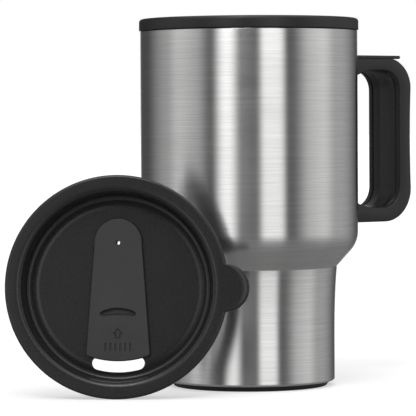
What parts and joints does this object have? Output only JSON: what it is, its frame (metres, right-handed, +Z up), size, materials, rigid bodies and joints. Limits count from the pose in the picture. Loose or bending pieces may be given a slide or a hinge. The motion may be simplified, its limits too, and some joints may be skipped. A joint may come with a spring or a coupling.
{
  "type": "insulated travel mug",
  "caption": "Insulated steel travel mug with a narrow cup-holder base, D-shaped handle, and a separate push-in lid with a sliding drink opening.",
  "frame": {"origin": "centre of the mug's foot, on the surface it stands on", "axes": "+Z up the mug's axis through the mouth, +X through the middle of the handle"},
  "size_m": [0.189, 0.0916, 0.15],
  "materials": {
    "brushed_steel": "brushed around the axis",
    "liner_steel": "satin, drawn",
    "foam": "moulded foam",
    "rim_plastic": "satin black",
    "base_plastic": "satin black",
    "pad_rubber": "matt",
    "seal_rubber": "soft matt",
    "handle_plastic": "fine moulded grain",
    "grip_plastic": "satin, softer",
    "thumb_plastic": "fine moulded grain",
    "bracket_steel": "as stamped",
    "screw_steel": "plated",
    "lid_plastic": "fine moulded grain",
    "slider_plastic": "finer, paler grain",
    "keeper_plastic": "satin black"
  },
  "bodies": {
    "mug": {"outer_shell": "brushed_steel", "inner_liner": "liner_steel", "insulation_sleeve": "foam", "insulation_disc": "foam", "rim_collar": "rim_plastic", "collar_gasket": "seal_rubber", "base_cap": "base_plastic", "base_pad": "pad_rubber", "handle_frame": "handle_plastic", "handle_insert": "grip_plastic", "thumb_rest": "thumb_plastic", "upper_bracket": "bracket_steel", "lower_bracket": "bracket_steel", "upper_handle_screw": "screw_steel", "lower_handle_screw": "screw_steel"},
    "lid": {"lid_shell": "lid_plastic", "lid_gasket": "seal_rubber"},
    "slider": {"slider_plate": "slider_plastic", "slider_seal": "seal_rubber", "slider_keeper": "keeper_plastic"}
  },
  "joints": [
    {"name": "lid_lift", "type": "slide", "parent": "mug", "child": "lid", "axis": [0, 0, 1], "range_m": [0, 0.16]},
    {"name": "slider_slide", "type": "slide", "parent": "lid", "child": "slider", "axis": [-0.0616, -0.0734, -0.9954], "range_m": [0, 0.0065]}
  ]
}
